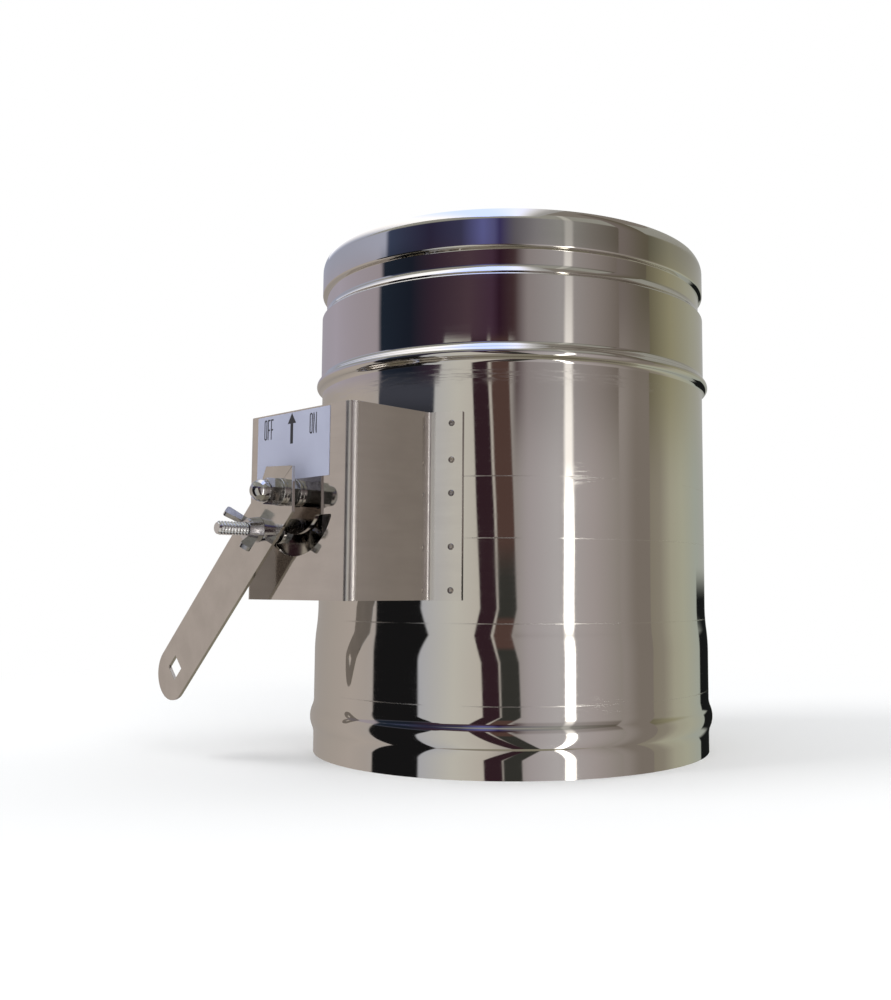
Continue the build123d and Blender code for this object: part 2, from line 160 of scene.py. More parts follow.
def new_finish(name):
    """A material with an empty tree, and a wire to start its tree from."""
    finish = bpy.data.materials.new(name)
    finish.use_nodes = True
    finish.node_tree.nodes.clear()
    return finish, Wire(finish.node_tree)


def close_finish(start, surface):
    start.node("ShaderNodeOutputMaterial", sockets={"Surface": surface})


def new_piece(name, data, finish):
    """An object in the scene with one material."""
    piece = bpy.data.objects.new(name, data)
    scene.collection.objects.link(piece)
    data.materials.clear()
    data.materials.append(finish)
    return piece


def mesh_of(name, points, faces):
    mesh = bpy.data.meshes.new(name)
    mesh.from_pydata(points, [], faces)
    mesh.update()
    mesh.shade_smooth()
    return mesh


ground_reach = 6.0
shadow_reach, white_reach = 0.22, 0.62
ground_finish, start = new_finish("pale ground")
spot = start.node("ShaderNodeTexCoord", out=3)
spread = start.node("ShaderNodeVectorMath", {"operation": "LENGTH"}, {0: spot}, out=1)
paper = start.node("ShaderNodeBsdfDiffuse", sockets={"Color": (0.94, 0.94, 0.94, 1)})
white = start.node("ShaderNodeEmission", sockets={"Color": (1, 1, 1, 1)})
seen = start.node("ShaderNodeLightPath", out=0)
fade = spread.smooth(shadow_reach, white_reach) * seen
top_side = start.node("ShaderNodeMixShader", sockets={0: fade, 1: paper, 2: white})
clear = start.node("ShaderNodeBsdfTransparent")
under = start.node("ShaderNodeNewGeometry", out=6)
close_finish(start, start.node("ShaderNodeMixShader", sockets={0: under, 1: top_side, 2: clear}))
ground_corners = [(ground_reach * x, ground_reach * y, 0) for x, y in ((-1, -1), (1, -1), (1, 1), (-1, 1))]
ground_piece = new_piece("ground", mesh_of("ground", ground_corners, [(0, 1, 2, 3)]), ground_finish)
ground_piece.visible_glossy = False

# Daylight. A plain even sky lights the part, with three soft lamps to model its forms. The camera and
# anything that mirrors the open sky see plain white.
world = bpy.data.worlds.new("studio")
scene.world = world
world.use_nodes = True
world.node_tree.nodes.clear()
start = Wire(world.node_tree)
sky_level = 0.72
ambient = start.node("ShaderNodeBackground", sockets={"Color": (0.97, 0.985, 1, 1), "Strength": sky_level})
backdrop = start.node("ShaderNodeBackground", sockets={"Color": (1, 1, 1, 1), "Strength": 1.0})
seen = start.node("ShaderNodeLightPath", out=0) + start.node("ShaderNodeLightPath", out=3)
sky = start.node("ShaderNodeMixShader", sockets={0: seen, 1: ambient, 2: backdrop})
start.node("ShaderNodeOutputWorld", sockets={"Surface": sky})

part_middle = Vector((0, 0, 0.12))
lamps = (("key lamp", (-0.9, -1.3, 1.5), 0.9, 16), ("fill lamp", (1.4, -0.5, 1.2), 1.0, 7),
         ("back lamp", (0.5, 1.5, 1.4), 1.0, 6))
for name, at, size, power in lamps:
    lamp = bpy.data.lights.new(name, "AREA")
    lamp.energy = power
    lamp.size = size
    lamp_piece = bpy.data.objects.new(name, lamp)
    scene.collection.objects.link(lamp_piece)
    lamp_piece.location = at
    lamp_piece.rotation_euler = (part_middle - Vector(at)).to_track_quat("-Z", "Y").to_euler()

# Room. Screens that only metal mirrors: warm walls with a dark door, two posts and a strip light, a brown
# floor, a soft box over the part and a brown card beside it. Angles on the walls are in degrees from the
# camera's side, and colours are the light that each screen gives.
wrap_reach = 1.2
floor_level = -1.25
ceiling_level = 1.5
strip_turn = 30.6
lower_walls = [
    (-180, (0.30, 0.28, 0.27)), (-118, (0.54, 0.49, 0.45)), (-98, (0.60, 0.54, 0.50)),
    (-84, (0.57, 0.52, 0.49)), (-50, (0.60, 0.62, 0.68)), (-30, (0.76, 0.75, 0.69)),
    (-14, (0.70, 0.66, 0.60)), (2, (0.42, 0.39, 0.38)), (9, (0.53, 0.49, 0.51)),
    (24, (0.64, 0.62, 0.64)), (45, (0.53, 0.48, 0.48)), (74, (0.27, 0.25, 0.20)),
    (79, (0.33, 0.30, 0.24)), (90, (0.37, 0.34, 0.28)), (100, (0.53, 0.52, 0.41)),
    (112, (0.56, 0.57, 0.45)), (131, (0.48, 0.52, 0.46)), (170, (0.36, 0.35, 0.33))]
upper_walls = [
    (-180, (0.30, 0.28, 0.30)), (-122, (0.53, 0.49, 0.58)), (-80.5, (0.48, 0.43, 0.48)),
    (-78, (0.02, 0.03, 0.05)), (-58, (0.015, 0.02, 0.035)), (-44, (0.05, 0.03, 0.05)),
    (-24, (0.10, 0.06, 0.08)), (-11, (0.08, 0.04, 0.07)), (-7, (0.04, 0.015, 0.03)),
    (1, (0.08, 0.045, 0.05)), (8, (0.37, 0.33, 0.34)), (26, (0.49, 0.47, 0.48)),
    (45, (0.37, 0.33, 0.32)), (67, (0.18, 0.15, 0.12)), (77, (0.17, 0.15, 0.10)),
    (101, (0.40, 0.38, 0.25)), (123, (0.46, 0.46, 0.36)), (160, (0.45, 0.45, 0.44))]
high_walls = [
    (-180, (0.35, 0.37, 0.45)), (-76, (0.55, 0.58, 0.74)), (-73, (0.06, 0.08, 0.15)),
    (-46, (0.035, 0.03, 0.07)), (-28, (0.06, 0.06, 0.13)), (-16, (0.16, 0.17, 0.44)),
    (-10, (0.13, 0.13, 0.32)), (-7, (0.06, 0.05, 0.16)), (1, (0.17, 0.16, 0.19)),
    (13, (0.30, 0.29, 0.31)), (26, (0.37, 0.37, 0.36)), (45, (0.25, 0.23, 0.21)),
    (66, (0.13, 0.11, 0.08)), (80, (0.15, 0.14, 0.10)), (100, (0.32, 0.31, 0.23)),
    (150, (0.42, 0.42, 0.40))]


def panels(start, turn, walls):
    """The colour of a wall at an angle, from its list of angles and colours."""
    stops = [((angle + 180) / 360, colour) for angle, colour in walls]
    return start.node("ShaderNodeValToRGB", {"stops": stops}, {"Fac": turn})


wall_finish, start = new_finish("room walls")
across, along, height = start.node("ShaderNodeTexCoord", out=3).split()
degree = start.math("ARCTAN2", along, across) * (180 / pi)
turn = degree / 360 + 0.5
walls = panels(start, turn, lower_walls)
door_left = (degree + 79.5).smooth(-0.8, 0.8)
door_right = (degree - height.smooth(-0.05, 0.42, -50.0, -42.5)).smooth(-0.9, 0.9, 1.0, 0.0)
door = height.smooth(0.32, 0.38).mix((0.012, 0.012, 0.013), (0.07, 0.075, 0.10))
walls = (door_left * door_right).mix(walls, door)
left_post = abs(degree - (height * -13.5 - 11.6)).smooth(3.9, 5.0, 1.0, 0.0)
walls = left_post.mix(walls, (0.045, 0.022, 0.03))
right_post = abs(degree - (height * -12.0 - 1.4)).smooth(4.2, 5.4, 1.0, 0.0)
walls = right_post.mix(walls, height.smooth(0.10, 0.16).mix((0.05, 0.05, 0.045), (0.12, 0.07, 0.06)))
gap = degree.smooth(131, 133) * degree.smooth(156, 162, 1.0, 0.0) * height.smooth(0.06, 0.12, 1.0, 0.0)
gap = gap * height.smooth(-0.34, -0.24)
walls = gap.mix(walls, (0.012, 0.013, 0.013))
left_edge = (height - degree.smooth(-41, -36, 0.402, 0.462)).smooth(-0.012, 0.012)
right_edge = height.smooth(0.22, 0.42)
on_right = degree.smooth(-1, 3)
raised = left_edge * (1 - on_right) + right_edge * on_right
walls = raised.mix(walls, panels(start, turn, upper_walls))
walls = height.smooth(0.55, 0.63).mix(walls, panels(start, turn, high_walls))
walls = height.smooth(0.72, 0.85).mix(walls, (0.42, 0.42, 0.38))
strip = height.smooth(0.14, 0.28, 0.85, 0.03) + height.smooth(0.30, 0.66, 0.15, 0.01)
strip = strip * abs(degree - strip_turn).smooth(1.2, 3.4, 1.0, 0.0)
walls = strip.mix(walls, (6.4, 6.3, 6.0))
close_finish(start, start.node("ShaderNodeEmission", sockets={"Color": walls}))

ceiling_finish, start = new_finish("room ceiling")
across, along, height = start.node("ShaderNodeTexCoord", out=3).split()
dim = along.smooth(-0.6, 0.8).mix((0.40, 0.41, 0.38), (0.30, 0.27, 0.24))
close_finish(start, start.node("ShaderNodeEmission", sockets={"Color": dim}))

light_finish, start = new_finish("soft box")
across, along, height = start.node("ShaderNodeTexCoord", out=3).split()
cool = abs(along + 0.04).smooth(0.01, 0.08, 1.0, 0.0).mix((1.75, 1.75, 1.8), (1.15, 1.4, 2.5))
cool = along.smooth(-0.27, -0.12).mix((0.50, 0.54, 0.70), cool)
cool = along.smooth(0.0, 0.045, 1.0, 0.0).mix((0.50, 0.50, 0.50), cool)
close_finish(start, start.node("ShaderNodeEmission", sockets={"Color": cool}))

flag_finish, start = new_finish("brown card")
across, along, height = start.node("ShaderNodeTexCoord", out=3).split()
low_card = across.smooth(0.14, 0.21).mix((0.29, 0.255, 0.225), (0.40, 0.36, 0.34))
high_card = across.smooth(0.10, 0.21).mix((0.165, 0.145, 0.105), (0.25, 0.215, 0.20))
card = height.smooth(0.21, 0.30).mix(low_card, high_card)
close_finish(start, start.node("ShaderNodeEmission", sockets={"Color": card}))

floor_finish, start = new_finish("room floor")
across, along, height = start.node("ShaderNodeTexCoord", out=3).split()
boards = along.smooth(-0.7, 0.7).mix((0.37, 0.34, 0.29), (0.32, 0.30, 0.23))
close_finish(start, start.node("ShaderNodeEmission", sockets={"Color": boards}))

sides = 96
ring = [(wrap_reach * cos(tau * i / sides), wrap_reach * sin(tau * i / sides)) for i in range(sides)]
wall_faces = [(i, (i + 1) % sides, sides + (i + 1) % sides, sides + i) for i in range(sides)]
box_level = 0.35
box_corners = [(-0.2, -0.28), (0.04, -0.28), (0.24, -0.05), (0.24, 0.05), (-0.2, 0.045)]
flag_side = 0.3
flag_corners = [(0.097, -0.3), (0.215, -0.3), (0.215, 0.9), (0.097, 0.9)]
wall_points = [(x, y, z) for z in (floor_level, ceiling_level) for x, y in ring]
screens = (
    ("room_walls", wall_points, wall_faces, wall_finish),
    ("room_ceiling", [(x, y, ceiling_level) for x, y in ring], [tuple(range(sides))], ceiling_finish),
    ("room_floor", [(x, y, floor_level) for x, y in ring], [tuple(range(sides))], floor_finish),
    ("soft_box", [(x, y, box_level) for x, y in box_corners], [(0, 1, 2, 3, 4)], light_finish),
    ("flag", [(x, flag_side, z) for x, z in flag_corners], [(0, 1, 2, 3)], flag_finish))
for name, points, faces, finish in screens:
    screen = new_piece(name, mesh_of(name, points, faces), finish)
    screen.rotation_euler = (0, 0, camera_turn - pi / 2)
    for seen_by in ("camera", "diffuse", "shadow", "transmission"):
        setattr(screen, "visible_" + seen_by, False)

# Pipe. One strip of polished stainless sheet, rolled round and welded along its back, then formed between
# rollers into a socket, two beads, a seal groove and a drawn-in rim. It rests on its socket end.
body_r = 100.0
spigot_r = 100.6
socket_r = 101.4
wall = 0.6
spindle_z = 122.0
pipe_turns = 280
bush_hole_r = 6.05
rim_r = spigot_r - 1.9
rim_foot, rim_top = 244.5, 250.0


def swell(low, high, steps=12):
    """Two equal arcs from one radius to another up the wall's outer line, as radius, height and lean."""
    bend = 2 * atan2(high[0] - low[0], high[1] - low[1])
    bow = (high[1] - low[1]) / 2 / sin(bend)
    leans = [bend * i / steps for i in range(steps + 1)]
    first = [(low[0] + bow * (1 - cos(lean)), low[1] + bow * sin(lean), lean) for lean in leans]
    both_r, both_z = low[0] + high[0], low[1] + high[1]
    return first + [(both_r - r, both_z - z, lean) for r, z, lean in reversed(first[:-1])]


def fold(before, corner, after, steps=8):
    """The arc that rounds a corner of the wall's outer line, by the radius that comes third in it."""
    radius = corner[2]
    lean_in = atan2(corner[0] - before[0], corner[1] - before[1])
    lean_out = atan2(after[0] - corner[0], after[1] - corner[1])
    bow = radius if lean_out > lean_in else -radius
    run = radius * tan(abs(lean_out - lean_in) / 2)
    centre_r = corner[0] - run * sin(lean_in) + bow * cos(lean_in)
    centre_z = corner[1] - run * cos(lean_in) - bow * sin(lean_in)
    leans = [lean_in + (lean_out - lean_in) * i / steps for i in range(steps + 1)]
    return [(centre_r - bow * cos(lean), centre_z + bow * sin(lean), lean) for lean in leans]


outer = [(socket_r, 0, 0)]
bead_line = [(socket_r, 8.6), (socket_r + 1.8, 17.6), (socket_r, 26.6)]
step_line = [(socket_r, 49.5), (body_r, 72.5)]
stop_line = [(body_r, 180.2), (spigot_r + 2.2, 184.4), (spigot_r, 189.6)]
for line in (bead_line, step_line, stop_line):
    for low, high in zip(line, line[1:]):
        arc = swell(low, high)
        outer += arc[1:] if outer[-1][1] == low[1] else arc
groove = [(spigot_r, 189.6, 0.0), (spigot_r, 220.0, 0.9), (spigot_r - 2.3, 222.7, 6.0),
          (spigot_r - 2.0, 231.6, 0.3), (spigot_r, 232.6, 0.9), (spigot_r, rim_foot, 0.0)]
for before, corner, after in zip(groove, groove[1:], groove[2:]):
    outer += fold(before, corner, after)
rim_bend = 2 * atan2(rim_r - spigot_r, rim_top - rim_foot)
rim_bow = (rim_top - rim_foot) / sin(rim_bend)
rim_steps = 12
for i in range(rim_steps + 1):
    lean = rim_bend * i / rim_steps
    outer.append((spigot_r + rim_bow * (1 - cos(lean)), rim_foot + rim_bow * sin(lean), lean))
inner = [(r - wall * cos(lean), z + wall * sin(lean), lean) for r, z, lean in outer]

section = [(r, z) for r, z, lean in outer] + [(r, z) for r, z, lean in reversed(inner)]
rows = len(section)
pipe_points = [(r * mm * cos(tau * i / pipe_turns), r * mm * sin(tau * i / pipe_turns), z * mm)
               for r, z in section for i in range(pipe_turns)]
pipe_faces = [(a * pipe_turns + i, a * pipe_turns + (i + 1) % pipe_turns,
               b * pipe_turns + (i + 1) % pipe_turns, b * pipe_turns + i)
              for a, b in [(k, (k + 1) % rows) for k in range(rows)] for i in range(pipe_turns)]
outer_face, inner_face, end_face, cut_face = range(4)
pipe_mesh = mesh_of("pipe shell", pipe_points, pipe_faces)


def rod(name, radius, start, end, sides=48):
    """A plain round bar between two points, as a mesh."""
    axis = (Vector(end) - Vector(start)).normalized()
    first = axis.orthogonal()
    second = axis.cross(first)
    spokes = [radius * (first * cos(tau * i / sides) + second * sin(tau * i / sides)) for i in range(sides)]
    points = [Vector(at) + spoke for at in (start, end) for spoke in spokes]
    faces = [(i, (i + 1) % sides, sides + (i + 1) % sides, sides + i) for i in range(sides)]
    return mesh_of(name, points, faces + [tuple(range(sides - 1, -1, -1)), tuple(range(sides, 2 * sides))])


def settle(piece):
    """Makes what a piece's modifiers do to it its own mesh."""
    bpy.context.view_layer.update()
    settled = bpy.data.meshes.new_from_object(piece.evaluated_get(bpy.context.evaluated_depsgraph_get()))
    piece.modifiers.clear()
    piece.data = settled


def stand_for(piece, node):
    """Puts a piece in the place of a CAD node, on the node's body, and hides the node."""
    record = frame["record"]
    bodies = [name for name, members in record["behaviour"]["bodies"].items() if node in members]
    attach(piece, bodies[0])
    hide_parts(node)


def close_metal(start, tint, polish, relief, metallic=1.0):
    """Ends a metal finish with its tint, its roughness and its surface relief in mm."""
    skin = start.node("ShaderNodeBump", sockets={"Height": relief, "Distance": mm})
    close_finish(start, start.node("ShaderNodeBsdfPrincipled", sockets={
        "Base Color": tint, "Metallic": metallic, "Roughness": polish, "Normal": skin}))


pipe_finish, start = new_finish("polished pipe steel")
spot = start.node("ShaderNodeTexCoord", out=3)
x, y, z = spot.split()
rolled = spot.noise((30, 30, 700), 3.0)
clouds = spot.noise(24, 4.0)
buckle = spot.noise((28, 28, 14), 1.0)
around = start.math("ARCTAN2", y, x)
level_marks = 0.0
for level in (31.0, 66.0, 103.0, 130.0):
    level_marks = level_marks + abs(z - level * mm).smooth(0.12 * mm, 0.32 * mm, 1.0, 0.0)
level_marks = level_marks * spot.noise(35, 3.0).smooth(0.36, 0.5)
fine = spot.noise((120, 120, 1600), 4.0).smooth(0.44, 0.66)
rubs = abs(z - 174.5 * mm).smooth(1.5 * mm, 5.0 * mm, 0.5, 0.0)
for rub_turn, rub_z, wide, tall in ((-29.0, 131.0, 9.0, 7.0), (-22.0, 31.0, 17.0, 6.0)):
    side_way = abs(around - radians(rub_turn)) * (body_r / wide)
    level_way = abs(z - rub_z * mm) / (tall * mm)
    rubs = rubs + (side_way * side_way + level_way * level_way).smooth(0.1, 1.0, 1.0, 0.0)
rubs = rubs * fine
seam_turn = radians(128)
off_seam = abs(around - seam_turn) * body_r
seam = off_seam.smooth(0.35, 0.75, 1.0, 0.0)
heat = off_seam.smooth(0.6, 3.2, 1.0, 0.0)
tint = clouds.mix((0.585, 0.56, 0.525), (0.615, 0.59, 0.555))
tint = (heat * 0.5).mix(tint, (0.56, 0.50, 0.40))
polish = 0.03 + rolled.smooth(0.3, 0.7) * 0.025 + clouds.smooth(0.5, 0.75) * 0.03 + seam * 0.2
polish = polish + level_marks * 0.22 + rubs * 0.28
relief = buckle * 0.2 + rolled * 0.0012 + rubs * 0.0015 + seam * 0.05
normal_x, normal_y, _ = start.node("ShaderNodeTexCoord", out=1).split()
inward = (normal_x * x + normal_y * y).smooth(-0.01, 0.01, 1.0, 0.0)
tint = inward.mix(tint, clouds.smooth(0.3, 0.7).mix((0.44, 0.43, 0.41), (0.54, 0.53, 0.50)))
polish = polish * (1 - inward) + (0.34 + rolled * 0.1) * inward
close_metal(start, tint, polish, relief, 1 - inward * 0.3)

pipe_piece = new_piece("pipe_shell", pipe_mesh, pipe_finish)
drill_reach = 0.11
drill_ends = [(0, y, spindle_z * mm) for y in (-drill_reach, drill_reach)]
drill_mesh = rod("drill", bush_hole_r * mm, *drill_ends)
drill = bpy.data.objects.new("drill", drill_mesh)
scene.collection.objects.link(drill)
bore = pipe_piece.modifiers.new("spindle holes", "BOOLEAN")
bore.object = drill
bore.solver = "EXACT"
for _ in range(3):
    pipe_mesh.materials.append(pipe_finish)
    drill_mesh.materials.append(pipe_finish)
drill_mesh.materials.append(pipe_finish)
for k in range(rows):
    face = outer_face if k < len(outer) - 1 else end_face if k in (len(outer) - 1, rows - 1) else inner_face
    for i in range(pipe_turns):
        pipe_mesh.polygons[k * pipe_turns + i].material_index = face
for face in drill_mesh.polygons:
    face.material_index = cut_face
settle(pipe_piece)
bpy.data.objects.remove(drill)

shell = pipe_piece.data
corners = np.empty(len(shell.loops), int)
shell.loops.foreach_get("vertex_index", corners)
at = np.empty(3 * len(shell.vertices))
shell.vertices.foreach_get("co", at)
at = at.reshape(-1, 3)[corners]
kind = np.empty(len(shell.polygons), int)
shell.polygons.foreach_get("material_index", kind)
size = np.empty(len(shell.polygons), int)
shell.polygons.foreach_get("loop_total", size)
flat = np.empty(3 * len(shell.polygons))
shell.polygons.foreach_get("normal", flat)
kind, flat = np.repeat(kind, size), np.repeat(flat.reshape(-1, 3), size, axis=0)
outer_lean = np.interp(at[:, 2] / mm, [z for r, z, lean in outer], [lean for r, z, lean in outer])
inner_lean = np.interp(at[:, 2] / mm, [z for r, z, lean in inner], [lean for r, z, lean in inner])
lean = np.where(kind == outer_face, outer_lean, inner_lean)
outward = np.where(kind == outer_face, 1.0, -1.0)
away = at[:, :2] / np.linalg.norm(at[:, :2], axis=1)[:, None]
normals = np.column_stack([away * (np.cos(lean) * outward)[:, None], -np.sin(lean) * outward])
normals[kind > inner_face] = flat[kind > inner_face]
shell.shade_smooth()
shell.normals_split_custom_set(normals.tolist())
shell.polygons.foreach_set("material_index", np.zeros(len(shell.polygons), int))
while len(shell.materials) > 1:
    shell.materials.pop()
stand_for(pipe_piece, "pipe_body")


# Bracket. One sheet of the same steel folded to a hat section, its slot cut through the face, with its two
# feet curved to the pipe. Its cut edges are barely broken.
def metal(name, light, dark, polish, grain, scratch, dents=0.0, metallic=1.0):
    """A worked metal skin, clouded between two tints, its polish and its surface a little uneven."""
    finish, start = new_finish(name)
    spot = start.node("ShaderNodeTexCoord", out=3)
    streaks = spot.noise(grain, 4.0)
    clouds = spot.noise(90, 3.0)
    tint = (clouds * 0.6 + streaks * 0.4).smooth(0.3, 0.7).mix(dark, light)
    uneven = polish * (0.75 + 0.5 * streaks.smooth(0.3, 0.7)) + clouds.smooth(0.5, 0.8) * 0.06
    relief = streaks * scratch + spot.noise(45, 1.0) * dents
    close_metal(start, tint, uneven, relief, metallic)
    return finish


def eased(node, name, finish, edge, steps=2):
    """A copy of a CAD node with its corners rounded off by edge, standing for the node."""
    source = nodes[node].data
    mesh = mesh_of(name, [v.co for v in source.vertices], [tuple(p.vertices) for p in source.polygons])
    work = bmesh.new()
    work.from_mesh(mesh)
    bmesh.ops.remove_doubles(work, verts=work.verts, dist=0.002 * mm)
    bmesh.ops.dissolve_limit(work, angle_limit=radians(0.5), verts=work.verts, edges=work.edges)
    work.to_mesh(mesh)
    work.free()
    piece = new_piece(name, mesh, finish)
    bevel = piece.modifiers.new("eased edges", "BEVEL")
    bevel.width = edge * mm
    bevel.segments = steps
    bevel.limit_method = "ANGLE"
    bevel.angle_limit = radians(25)
    bevel.harden_normals = True
    settle(piece)
    stand_for(piece, node)


face_y = 137.5
bracket_finish, start = new_finish("bracket sheet steel")
spot = start.node("ShaderNodeTexCoord", out=3)
x, y, z = spot.split()
streaks = spot.noise((40, 40, 260), 4.0)
clouds = spot.noise(60, 3.0)
face_bends = abs(x).smooth(32.8 * mm, 34.2 * mm) * y.smooth(-134.2 * mm, -132.8 * mm, 1.0, 0.0)
foot_bends = abs(x).smooth(39.4 * mm, 40.8 * mm, 1.0, 0.0) * y.smooth(-97.5 * mm, -96.0 * mm)
tint = (clouds * 0.6 + streaks * 0.4).smooth(0.3, 0.7).mix((0.57, 0.54, 0.515), (0.62, 0.59, 0.56))
polish = 0.05 + streaks.smooth(0.3, 0.7) * 0.03 + clouds.smooth(0.5, 0.8) * 0.05
polish = polish + (face_bends + foot_bends) * 0.25
relief = streaks * 0.001 + spot.noise(45, 1.0) * 0.02
close_metal(start, tint, polish, relief)
eased("bracket", "bracket_sheet", bracket_finish, 0.12)

# Spot welds. Five small dents down each foot where the electrodes pinched it to the pipe, each a dull ring
# with the straw and blue of the heat round it.
weld_levels = (153.4, 137.2, 122.6, 99.2, 80.3)
weld_turn = radians(27.6)
foot_r = 101.5
weld_section = [(0.0, 0.09), (0.35, 0.07), (0.65, 0.02), (0.8, 0.02),
                (1.0, 0.16), (1.15, 0.16), (1.45, -0.02)]
weld_sides = 24
weld_points, weld_faces = [], []
up_pipe = Vector((0, 0, 1))
for side in (-1, 1):
    for weld_level in weld_levels:
        outward = Vector((side * sin(weld_turn), -cos(weld_turn), 0))
        level_way = Vector((cos(weld_turn), side * sin(weld_turn), 0))
        centre = outward * foot_r + up_pipe * weld_level
        first = len(weld_points)
        for r, proud in weld_section:
            for i in range(weld_sides):
                across, rise = r * cos(tau * i / weld_sides), r * sin(tau * i / weld_sides)
                sag = across * across / 2 / foot_r
                spot = centre + level_way * across + up_pipe * rise + outward * (proud - sag)
                weld_points.append(spot * mm)
        for k in range(len(weld_section) - 1):
            for i in range(weld_sides):
                a, b = first + k * weld_sides + i, first + k * weld_sides + (i + 1) % weld_sides
                weld_faces.append((a, a + weld_sides, b + weld_sides, b))
        last_ring = len(weld_points) - weld_sides
        weld_faces.append(tuple(last_ring + i for i in range(weld_sides)))
weld_finish = metal("spot weld steel", (0.40, 0.35, 0.30), (0.20, 0.19, 0.21), 0.16, (900, 900, 900), 0.01)
weld_mesh = mesh_of("spot welds", weld_points, weld_faces)
work = bmesh.new()
work.from_mesh(weld_mesh)
bmesh.ops.remove_doubles(work, verts=work.verts, dist=0.0005 * mm)
bmesh.ops.recalc_face_normals(work, faces=work.faces)
work.to_mesh(weld_mesh)
work.free()
weld_piece = new_piece("spot_welds", weld_mesh, weld_finish)
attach(weld_piece, "housing")

# Scale label. A satin film stuck on the face over the lever, printed in black with an arrow up the middle
# and the words OFF and ON at the two ends of the lever's travel.
label_finish, start = new_finish("label film")
spot = start.node("ShaderNodeTexCoord", out=3)
fibres = spot.noise(300, 3.0)
clouds = spot.noise(40, 2.0)
close_finish(start, start.node("ShaderNodeBsdfPrincipled", sockets={
    "Base Color": clouds.smooth(0.3, 0.7).mix((0.35, 0.365, 0.475), (0.38, 0.40, 0.51)),
    "Roughness": 0.38 + fibres * 0.12}))
label_film = nodes["scale_label"].data
label_film.materials.clear()
label_film.materials.append(label_finish)

ink_finish, start = new_finish("black ink")
worn = start.node("ShaderNodeTexCoord", out=3).noise(900, 3.0)
close_finish(start, start.node("ShaderNodeBsdfPrincipled", sockets={
    "Base Color": worn.smooth(0.62, 0.8).mix((0.012, 0.012, 0.018), (0.08, 0.08, 0.10)), "Roughness": 0.5}))

label_front = face_y + 0.2
ink_proud, ink_sunk = 0.03, 0.01


def print_outlines(name, outlines):
    """Prints a word or a sign on the label. Each shape is one outline, or an outer and an inner one."""
    work = bmesh.new()
    back = -(label_front - ink_sunk) * mm
    for outline in outlines:
        rings = outline if isinstance(outline[0], list) else [outline]
        rings = [[work.verts.new((x * mm, back, z * mm)) for x, z in ring] for ring in rings]
        if len(rings) == 1:
            work.faces.new(rings[0])
        else:
            count = len(rings[0])
            for i in range(count):
                j = (i + 1) % count
                work.faces.new((rings[0][i], rings[0][j], rings[1][j], rings[1][i]))
    raised = bmesh.ops.extrude_face_region(work, geom=work.faces[:])
    moved = [v for v in raised["geom"] if isinstance(v, bmesh.types.BMVert)]
    bmesh.ops.translate(work, verts=moved, vec=(0, -(ink_proud + ink_sunk) * mm, 0))
    bmesh.ops.recalc_face_normals(work, faces=work.faces)
    mesh = bpy.data.meshes.new(name)
    work.to_mesh(mesh)
    work.free()
    piece = new_piece(name, mesh, ink_finish)
    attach(piece, "housing")


def letter_o(x, z, wide, tall, stroke):
    rings = []
    for inset in (0, stroke):
        rx, rz = wide / 2 - inset, tall / 2 - inset * 1.1
        ends = []
        for i in range(24):
            angle = tau * (i + 0.5) / 24
            c, s = cos(angle), sin(angle)
            lift = (rz - rx) * (1 if s > 0 else -1)
            ends.append((x + wide / 2 + rx * c, z + tall / 2 + rx * s + lift))
        rings.append(ends)
    return rings


def letter_f(x, z, wide, tall, stroke):
    bar = stroke * 1.15
    return [(x, z), (x + stroke, z), (x + stroke, z + tall * 0.44), (x + wide * 0.85, z + tall * 0.44),
            (x + wide * 0.85, z + tall * 0.44 + bar), (x + stroke, z + tall * 0.44 + bar),
            (x + stroke, z + tall - bar), (x + wide, z + tall - bar), (x + wide, z + tall), (x, z + tall)]


def letter_n(x, z, wide, tall, stroke):
    slant = stroke * 1.1
    return [(x, z), (x + stroke, z), (x + stroke, z + tall - 2.2 * slant), (x + wide - stroke, z),
            (x + wide, z), (x + wide, z + tall), (x + wide - stroke, z + tall),
            (x + wide - stroke, z + 2.2 * slant), (x + stroke, z + tall), (x, z + tall)]


arrow_x, arrow_top, arrow_head, arrow_foot = -3.9, 157.5, 152.9, 144.0
left, right, tip_left, tip_right = arrow_x - 1.0, arrow_x + 1.0, arrow_x - 3.1, arrow_x + 3.1
print_outlines("arrow_print", [[
    (left, arrow_foot), (right, arrow_foot), (right, arrow_head), (tip_right, arrow_head),
    (arrow_x, arrow_top), (tip_left, arrow_head), (left, arrow_head)]])
stroke = 0.62
print_outlines("off_print", [
    letter_o(-24.8, 147.2, 2.1, 9.2, stroke), letter_f(-22.2, 147.2, 1.9, 9.2, stroke),
    letter_f(-19.8, 147.2, 1.9, 9.2, stroke)])
print_outlines("on_print", [
    letter_o(9.1, 147.0, 2.1, 9.0, stroke), letter_n(11.7, 147.0, 2.4, 9.0, 0.55)])

# Bushes. Turned flanged sleeves, pressed into the pipe's two holes and riveted over in the bracket's face.
# They carry the spindle.
turned_finish = metal("turned steel", (0.64, 0.63, 0.61), (0.56, 0.55, 0.53), 0.2, (500, 60, 500), 0.004)
for node in ("front_bush", "rear_bush", "face_bush"):
    eased(node, node + "_turned", turned_finish, 0.12)

# Spindle. A ground steel rod right across the pipe, threaded and flatted for the lever at its front, milled
# flat along its middle for the blade.
spindle_finish = metal("ground rod", (0.66, 0.65, 0.63), (0.58, 0.57, 0.56), 0.16, (900, 30, 900), 0.003)
eased("spindle", "spindle_rod", spindle_finish, 0.08)

